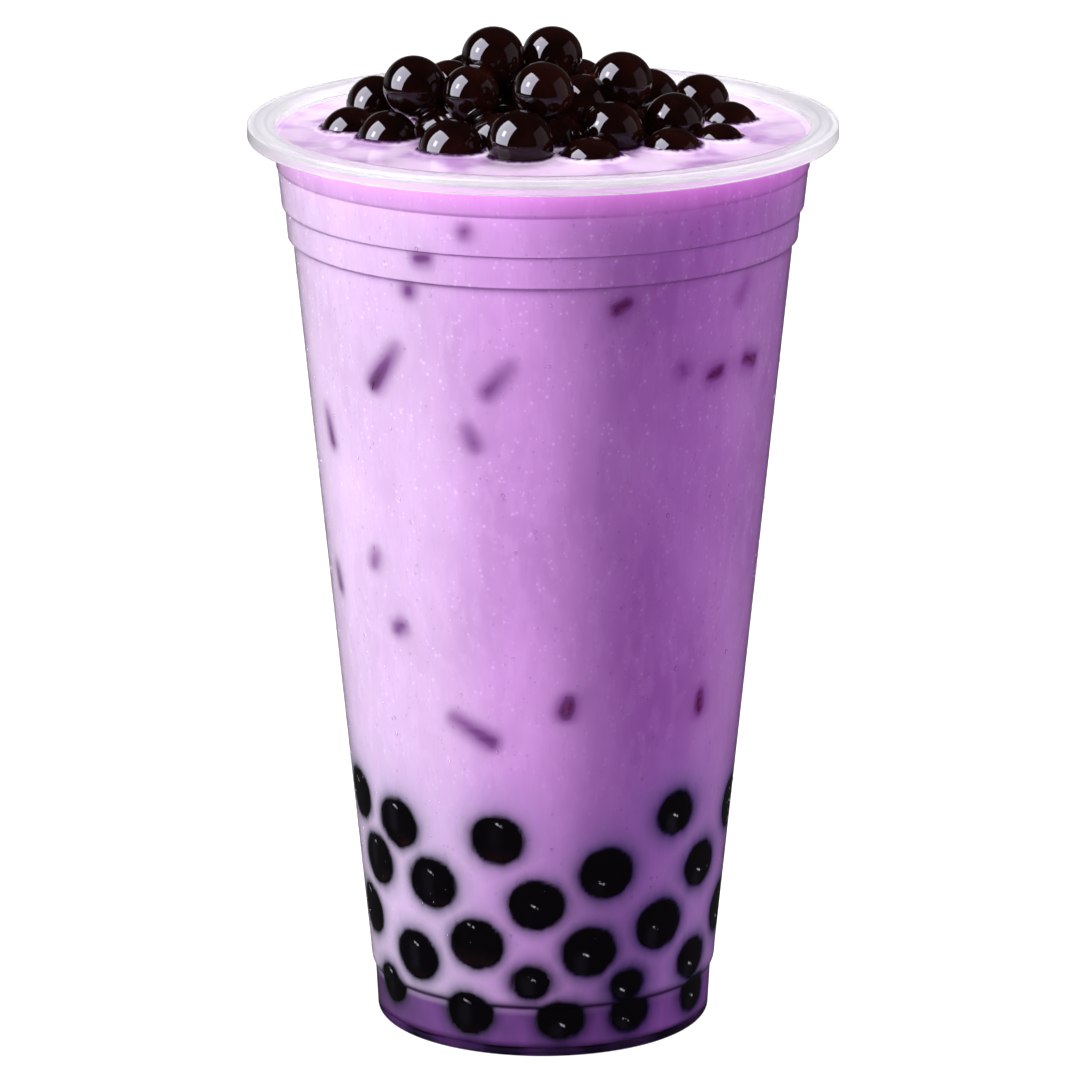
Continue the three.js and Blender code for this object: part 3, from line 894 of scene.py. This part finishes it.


# milk seen through the wall: clouds, pale flecks, painted shade round the sunken pearls and the ice, along
# the crease and low on the foot, a painted glow under the rim, and a broad creamy sheen
def milkSideMaterial(look):
    material, tree, output = newMaterial("taroMilk")
    cloud, grain = addMottle(tree, look["mottle"], look["drawn"])
    streak, dash = addMottle(tree, look["streak"], look["streakDrawn"])
    colour = mixColours(tree, remap(tree, cloud, 0.35, 0.5), look["deep"], look["milk"])
    colour = mixColours(tree, remap(tree, cloud, 0.52, 0.75), colour, look["light"])
    colour = mixColours(tree, remap(tree, streak, 0.5, 0.8, 0.0, 0.35), colour, look["light"])
    colour = mixColours(tree, remap(tree, grain, 0.5, 0.75, 0.0, 0.6), colour, look["light"])
    colour = mixColours(tree, remap(tree, dash, 0.48, 0.25, 0.0, 0.35), colour, look["deep"])
    place = addNode(tree, "ShaderNodeTexCoord").outputs["Object"]
    height = addNode(tree, "ShaderNodeSeparateXYZ", {0: place}).outputs["Z"]
    flecks = addSpecks(tree, look["fleckScale"], look["fleckShare"])
    flecks = product(tree, flecks, remap(tree, grain, 0.4, 0.6, 0.05, 0.75))
    flecks = product(tree, flecks, remap(tree, height, *look["fleckRise"], 0.35, 1.0))
    colour = mixColours(tree, flecks, colour, look["fleck"])
    pearl, tint, crease = (readValue(tree, name) for name in ("pearlNear", "pearlShadeWide", "crease"))
    ice, iceShadeWide = (readValue(tree, name) for name in ("iceNear", "iceShadeWide"))
    # painted shade round the sunken pearls: a cool blue, then dusk, then near black at the edge
    colour = mixColours(tree, product(tree, tint, 0.9), colour, look["coolShade"])
    # painted shade round the ice: a violet halo, and a dark wine core where it touches the wall
    colour = mixColours(tree, remap(tree, iceShadeWide, 0.2, 1.0, 0.0, 0.75), colour, look["haloShade"])
    colour = mixColours(tree, remap(tree, ice, 0.2, 0.75), colour, look["haloShade"])
    colour = mixColours(tree, remap(tree, ice, 0.65, 1.0, 0.0, 0.9), colour, look["wineShade"])
    # painted shade: the milk darker and deeper purple low on the foot
    foot = remap(tree, height, *look["footFade"])
    colour = mixColours(tree, product(tree, foot, 0.85), colour, look["foot"])
    # painted shade: a dark line in the crease over the foot
    colour = mixColours(tree, crease, colour, look["crease"])
    ragged = calculate(tree, "ADD", pearl, remap(tree, grain, 0.3, 0.7, -0.08, 0.08))
    dusk = remap(tree, ragged, 0.04, 0.96)
    colour = mixColours(tree, dusk, colour, look["dusk"])
    colour = mixColours(tree, remap(tree, ragged, 0.65, 1.0), colour, look["shade"])
    hidden = larger(tree, dusk, product(tree, tint, 0.35))  # where the sheen is lost
    hidden = larger(tree, hidden, crease)
    hidden = larger(tree, hidden, remap(tree, ice, 0.2, 0.75, 0.0, 0.92))
    hidden = larger(tree, hidden, product(tree, foot, 0.95))
    hidden = larger(tree, hidden, remap(tree, height, *look["sheenEnd"], 0.0, 0.4))
    sheen = remap(tree, cloud, 0.3, 0.7, look["sheen"] * 0.87, look["sheen"])
    sheen = product(tree, sheen, remap(tree, grain, 0.35, 0.6, 0.94, 1.0))
    sheen = product(tree, sheen, calculate(tree, "SUBTRACT", 1.0, hidden))
    # painted light: a pink glow under the rim, standing in for light coming through it
    lit = calculate(tree, "POWER", remap(tree, height, *look["glowRise"]), look["glowPower"])
    glow = mixColours(tree, lit, black, look["glow"])
    body = addNode(tree, "ShaderNodeBsdfPrincipled", {
        "Base Color": colour, "Roughness": look["rough"], "Specular IOR Level": 0.0,
        "Coat Weight": sheen, "Coat Roughness": look["sheenRough"], "Coat IOR": look["sheenIor"],
        "Emission Color": glow, "Emission Strength": 1.0})
    putInput(tree, output.inputs["Surface"], body.outputs[0])
    return material


# runs are distances from the floating pearls
milkTopLook = dict(
    cream=(0.81, 0.61, 0.86, 1), violet=(0.56, 0.31, 0.66, 1), mottle=110, rough=0.06, ior=1.35,
    ragged=0.14 * mm, rim=(0.36, 0.16, 0.46, 1), rimRun=(3.5 * mm, 0.8 * mm),
    swell=(0.95, 0.86, 0.97, 1), swellHighlightRun=(0.6 * mm, 1.0 * mm, 0.25 * mm),
    line=(0.05, 0.015, 0.07, 1), lineShadeRun=(0.6 * mm, 0.2 * mm), bump=0.2, bumpHigh=0.8 * mm)


# the milk's top: cream and violet clouds, and round each pearl painted shade, a painted pale highlight on
# the swell and a painted dark line of shade
def milkTopMaterial(look):
    material, tree, output = newMaterial("taroMilkTop")
    cloud, grain = addMottle(tree, look["mottle"])
    colour = mixColours(tree, remap(tree, cloud, 0.46, 0.68), look["cream"], look["violet"])
    ragged = remap(tree, grain, 0.3, 0.7, -look["ragged"], look["ragged"])
    gap = calculate(tree, "ADD", readValue(tree, "floatGap"), ragged)
    # painted shade, a painted highlight on the swell and a painted dark line round each floating pearl
    shade = product(tree, remap(tree, gap, *look["rimRun"]), remap(tree, cloud, 0.35, 0.6, 0.1, 0.7))
    colour = mixColours(tree, shade, colour, look["rim"])
    swell = product(tree, band(tree, gap, *look["swellHighlightRun"]), remap(tree, cloud, 0.4, 0.6, 0.75, 0.3))
    colour = mixColours(tree, swell, colour, look["swell"])
    colour = mixColours(tree, remap(tree, gap, *look["lineShadeRun"]), colour, look["line"])
    dents = {"Height": cloud, "Strength": look["bump"], "Distance": look["bumpHigh"]}
    bump = addNode(tree, "ShaderNodeBump", dents)
    rough = remap(tree, grain, 0.3, 0.7, look["rough"] * 0.7, look["rough"] * 1.6)
    body = addNode(tree, "ShaderNodeBsdfPrincipled", {
        "Base Color": colour, "Roughness": rough, "IOR": look["ior"], "Normal": bump.outputs["Normal"]})
    putInput(tree, output.inputs["Surface"], body.outputs[0])
    return material


# the drink, with the distances that its materials read
def makeDrink(shape):
    rings, ends, topStart = drinkRings(shape)
    materials = [milkSideMaterial(milkLook), milkTopMaterial(milkTopLook)]
    drink = skinPiece("taroDrink", rings, ends, materials, "taro_milk", "drink")
    points = skinPoints(rings, ends)
    # distances for painted shade round the sunken pearls, along the crease, round the ice and round the
    # floating pearls
    toSunk = ballGap(points, sunkPearls, np.full(len(sunkPearls), sunkPlan["diameter"] / 2))
    pointValue(drink, "pearlNear", closeness(toSunk, shape["pearlShade"]))
    pointValue(drink, "pearlShadeWide", closeness(toSunk, shape["pearlShadeWide"]))
    toCrease = np.abs(points[:, 2] - shape["crease"])
    pointValue(drink, "crease", shape["creaseShare"] * closeness(toCrease, shape["creaseRun"]))
    toIce = iceGap(points, *iceBlocks)
    pointValue(drink, "iceNear", closeness(toIce, shape["iceShade"]))
    pointValue(drink, "iceShadeWide", closeness(toIce, shape["iceShadeWide"]))
    pointValue(drink, "floatGap", ballGap(points, pearlCentres, pearlRadii))
    isTop = np.ones(len(drink.data.polygons), dtype=np.int32)
    isTop[:(topStart - 1) * shape["columns"]] = 0
    isTop[-2 * shape["columns"]:-shape["columns"]] = 0  # the fan at the floor
    drink.data.polygons.foreach_set("material_index", isTop)
    print("drink poured:", len(drink.data.polygons), "faces")
    return drink


taroDrink = makeDrink(drinkShape)

# droplets of condensation on the outer wall
dropPlan = dict(count=2600, low=14 * mm, high=143 * mm, gather=0.75, size=0.11 * mm, spread=0.45,
                largest=0.32 * mm, longer=(0.9, 1.5), flat=0.45, rows=4, columns=8, seed=31)


# flat round caps: squashed spheres standing on the wall, a little longer downwards
def dropRings(plan):
    draw = np.random.default_rng(plan["seed"])
    count = plan["count"]
    turn = draw.uniform(0, 2 * math.pi, count)
    height = plan["low"] + (plan["high"] - plan["low"]) * draw.uniform(0, 1, count) ** plan["gather"]
    size = np.minimum(plan["size"] * np.exp(draw.normal(0, plan["spread"], count)), plan["largest"])
    slope = (wallRadius(height + mm / 2) - wallRadius(height - mm / 2)) / mm
    zero, one = np.zeros(count), np.ones(count)
    out = np.stack([np.sin(turn), -np.cos(turn), zero], axis=1)
    side = np.stack([np.cos(turn), np.sin(turn), zero], axis=1)
    up = out * slope[:, None] + np.stack([zero, zero, one], axis=1)
    up *= (draw.uniform(*plan["longer"], count) / np.linalg.norm(up, axis=1))[:, None]
    centres = out * wallRadius(height)[:, None] + np.stack([zero, zero, height], axis=1)
    axes = np.stack([side, up, out * plan["flat"]], axis=1) * size[:, None, None]

    def placed(points):
        shape = (count,) + (1,) * (points.ndim - 1) + (3,)
        return centres.reshape(shape) + np.einsum("...k,nkj->n...j", points, axes)

    return placed(sphereRings(plan["rows"], plan["columns"])), placed(spherePoles)


waterLook = dict(tint=(0.94, 0.95, 1, 1), mottle=900, ior=1.33)


# clear water, from white to a faint blue
def waterMaterial(look):
    material, tree, output = newMaterial("dewWater")
    colour = mixColours(tree, addMottle(tree, look["mottle"])[0], white, look["tint"])
    body = addNode(tree, "ShaderNodeBsdfPrincipled", {
        "Base Color": colour, "Roughness": 0.0, "IOR": look["ior"], "Transmission Weight": 1.0})
    lightThrough(tree, output, body)
    return material


dewDrops = skinPiece("dewDrops", *dropRings(dropPlan), [waterMaterial(waterLook)], "clear_cup")
print("dew laid:", dropPlan["count"], "drops")

# studio lamps round the drink: turn to the right of the front and rise in degrees, sizes in metres
studioAim = Vector((0, 0, 0.1))
wetPieces, milkAlone = [clearCup, dewDrops, taroDrink], [taroDrink]
studioLamps = dict(
    pearlBox=dict(turn=-68, rise=34, away=0.75, size=(0.7, 1.05), radiance=21.5, on=pearlPieces),
    pearlBulb=dict(turn=-66, rise=33, away=0.74, size=(0.14, 0.2), radiance=30, on=pearlPieces),
    pearlBoard=dict(turn=82, rise=12, away=0.8, size=(0.8, 1), radiance=0.7, colour=(1, 0.8, 0.8),
                    on=pearlPieces),
    cupBox=dict(turn=-68, rise=34, away=0.75, size=(0.7, 1.05), radiance=8.5, on=wetPieces),
    leftCard=dict(turn=-112, rise=-12, away=0.75, size=(1.2, 0.7), radiance=9, colour=(1, 0.92, 1),
                  on=milkAlone),
    midCard=dict(turn=-52, rise=-15, away=0.75, size=(0.42, 0.7), radiance=6.3, colour=(1, 1, 0.95),
                 on=milkAlone),
    nearCard=dict(turn=-15, rise=-15, away=1, size=(0.9, 0.7), radiance=7.0, colour=(0.95, 0.5, 1),
                  on=milkAlone),
    rightCard=dict(turn=105, rise=-8, away=0.8, size=(0.8, 0.8), radiance=1.1, colour=(1, 0.75, 0.9),
                   on=milkAlone),
    frontLamp=dict(turn=12, rise=26, away=1.3, size=(0.6, 0.6), radiance=9),
    leftLamp=dict(turn=-75, rise=20, away=1, size=(0.5, 0.5), radiance=5.8),
    rightLamp=dict(turn=100, rise=15, away=1, size=(0.5, 0.5), radiance=8),
    topLamp=dict(turn=170, rise=60, away=1, size=(0.5, 0.5), radiance=13))


# a rectangular lamp that faces the aim point; its power follows from its brightness and area
# one that names pieces is only reflected by them, the others only light matt surfaces
def makeLamp(name, lamp):
    data = bpy.data.lights.new(name, "AREA")
    data.shape = "RECTANGLE"
    data.size, data.size_y = lamp["size"]
    data.energy = lamp["radiance"] * math.pi * data.size * data.size_y
    data.color = lamp.get("colour", (1, 1, 1))
    turn, rise = math.radians(lamp["turn"]), math.radians(lamp["rise"])
    way = Vector((math.sin(turn) * math.cos(rise), -math.cos(turn) * math.cos(rise), math.sin(rise)))
    holder = bpy.data.objects.new(name, data)
    holder.location = studioAim + way * lamp["away"]
    holder.rotation_euler = way.to_track_quat("Z", "Y").to_euler()
    holder.visible_camera = False
    holder.visible_transmission = False
    holder.visible_glossy = "on" in lamp
    holder.visible_diffuse = "on" not in lamp
    bpy.context.scene.collection.objects.link(holder)
    if "on" in lamp:
        holder.light_linking.receiver_collection = bpy.data.collections.new(name)
        for piece in lamp["on"]:
            holder.light_linking.receiver_collection.objects.link(piece)
    # sampling both ways is only of use where a reflection is sharp, and the milk's is broad
    data.cycles.use_multiple_importance_sampling = lamp.get("on") != milkAlone


for lampName, lampValues in studioLamps.items():
    makeLamp(lampName, lampValues)

# brightness seen by each kind of ray, and where along the view's axes the sheet starts and ends
surround = dict(seen=1.0, fill=0.085, back=0.5, dim=0.02,
                behind=(0.25, 0.6), high=(0.35, 0.1), low=(-0.15, 0.0), leftward=(0.25, -0.2), least=0.12)


# the camera sees plain white, glossy things a pale sheet behind and dark elsewhere; the rest is dim fill
def makeSurround(look):
    world = bpy.data.worlds.new("surround")
    bpy.context.scene.world = world
    world.use_nodes = True
    tree = world.node_tree
    tree.nodes.clear()
    way = addNode(tree, "ShaderNodeTexCoord").outputs["Generated"]
    split = addNode(tree, "ShaderNodeSeparateXYZ", {0: way}).outputs
    behind = remap(tree, split["Y"], *look["behind"])
    between = product(tree, remap(tree, split["Z"], *look["high"]), remap(tree, split["Z"], *look["low"]))
    leftward = remap(tree, split["X"], *look["leftward"], look["least"], 1.0)
    sheet = product(tree, product(tree, behind, between), leftward)
    glossy = remap(tree, sheet, 0.0, 1.0, look["dim"], look["back"])
    path = addNode(tree, "ShaderNodeLightPath").outputs
    light = mixValues(tree, path["Is Glossy Ray"], look["fill"], glossy)
    clear = larger(tree, path["Is Camera Ray"], product(tree, path["Is Transmission Ray"], behind))
    strength = mixValues(tree, clear, light, look["seen"])
    glow = addNode(tree, "ShaderNodeBackground", {"Color": white, "Strength": strength})
    output = addNode(tree, "ShaderNodeOutputWorld")
    putInput(tree, output.inputs["Surface"], glow.outputs[0])


makeSurround(surround)

floorLook = dict(half=3.0, colour=(0.3, 0.3, 0.3, 1), rough=0.8, specular=0.1, glow=0.85)


# a pale floor; its own bounce is left to the lamps
def makeFloor(look):
    half = look["half"]
    mesh = bpy.data.meshes.new("paleFloor")
    corners = [(-half, -half, 0), (half, -half, 0), (half, half, 0), (-half, half, 0)]
    mesh.from_pydata(corners, [], [(0, 1, 2, 3)])
    material, tree, output = newMaterial("paleFloor")
    body = addNode(tree, "ShaderNodeBsdfPrincipled", {
        "Base Color": look["colour"], "Roughness": look["rough"], "Specular IOR Level": look["specular"],
        "Emission Color": white, "Emission Strength": look["glow"]})
    putInput(tree, output.inputs["Surface"], body.outputs[0])
    mesh.materials.append(material)
    floor = bpy.data.objects.new("paleFloor", mesh)
    bpy.context.scene.collection.objects.link(floor)
    floor.visible_diffuse = False
    floor.visible_glossy = False
    floor.visible_transmission = False
    floor.visible_shadow = False


makeFloor(floorLook)
bpy.context.scene.view_settings.view_transform = "Standard"
print("studio lit")
